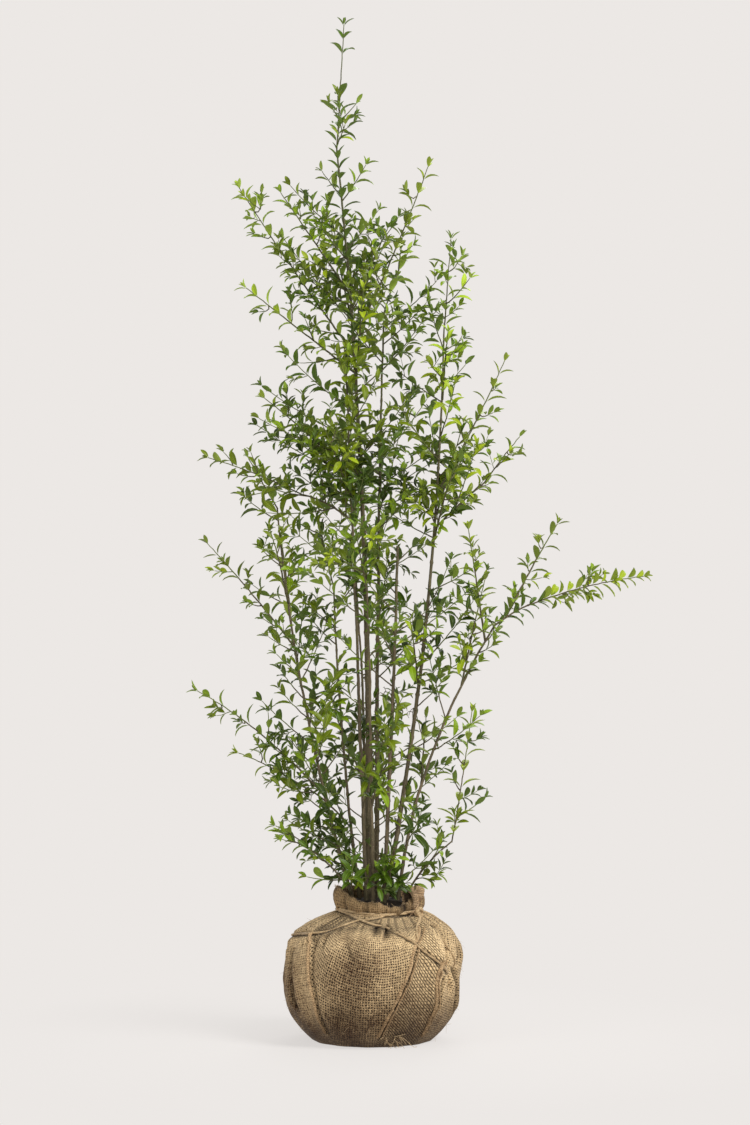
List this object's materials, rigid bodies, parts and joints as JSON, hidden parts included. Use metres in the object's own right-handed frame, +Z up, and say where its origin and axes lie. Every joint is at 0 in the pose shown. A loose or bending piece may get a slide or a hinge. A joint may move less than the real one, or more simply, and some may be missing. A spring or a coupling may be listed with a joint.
{
  "type": "young hedging shrub with wrapped root ball",
  "caption": "Slender hedging shrub of several upright stems with small opposite leaves, standing on a root ball wrapped in hessian and tied with twine.",
  "frame": {"origin": "middle of the root ball's flat underside", "axes": "+Z up along the stems, -Y towards the front, +X to the right as seen from the front"},
  "size_m": [0.7752, 0.5017, 1.733],
  "materials": {
    "leaves": "glossy leaves, paler beneath",
    "bark": "grey-brown bark, matte",
    "hessian": "coarse open weave, matte",
    "twine": "twisted jute, matte",
    "soil": "moist dark soil"
  },
  "bodies": {
    "root": {"root_ball": "hessian", "collar": "hessian", "soil": "soil", "neck_twine": "twine", "twine_left": "twine", "twine_right": "twine", "leader": "bark", "stem_rear": "bark", "stem_right": "bark", "stem_right_low": "bark", "stem_left": "bark", "stem_left_upper": "bark", "stem_left_outer": "bark", "stem_middle": "bark", "stem_front": "bark", "stem_back": "bark", "stem_low_left": "bark", "stem_low_right": "bark", "bough_right_arm": "bark", "bough_right_mid": "bark", "bough_left_mid": "bark", "bough_left_low": "bark", "top_spray": "leaves", "crown_left_high": "leaves", "crown_left_mid": "leaves", "crown_left_low": "leaves", "crown_right_high": "leaves", "crown_right_inner": "leaves", "crown_front": "leaves", "crown_back": "leaves", "rear_top": "leaves", "right_top": "leaves", "right_upper_out": "leaves", "right_mid_high": "leaves", "right_mid_front": "leaves", "right_mid_back": "leaves", "right_mid_low": "leaves", "right_centre": "leaves", "arm_right": "leaves", "arm_right_up": "leaves", "arm_right_inner": "leaves", "arm_right_front": "leaves", "low_right": "leaves", "low_right_inner": "leaves", "arm_left": "leaves", "left_outer_top": "leaves", "left_outer_front": "leaves", "left_outer_back": "leaves", "low_left_arm": "leaves", "low_left_arm_under": "leaves", "low_left_foot": "leaves", "left_mid": "leaves", "left_mid_upper": "leaves", "left_mid_front": "leaves", "left_top": "leaves", "middle_front": "leaves", "middle_back": "leaves", "middle_low_back": "leaves", "middle_low_front": "leaves", "foot_leaves": "leaves"}
  },
  "joints": []
}
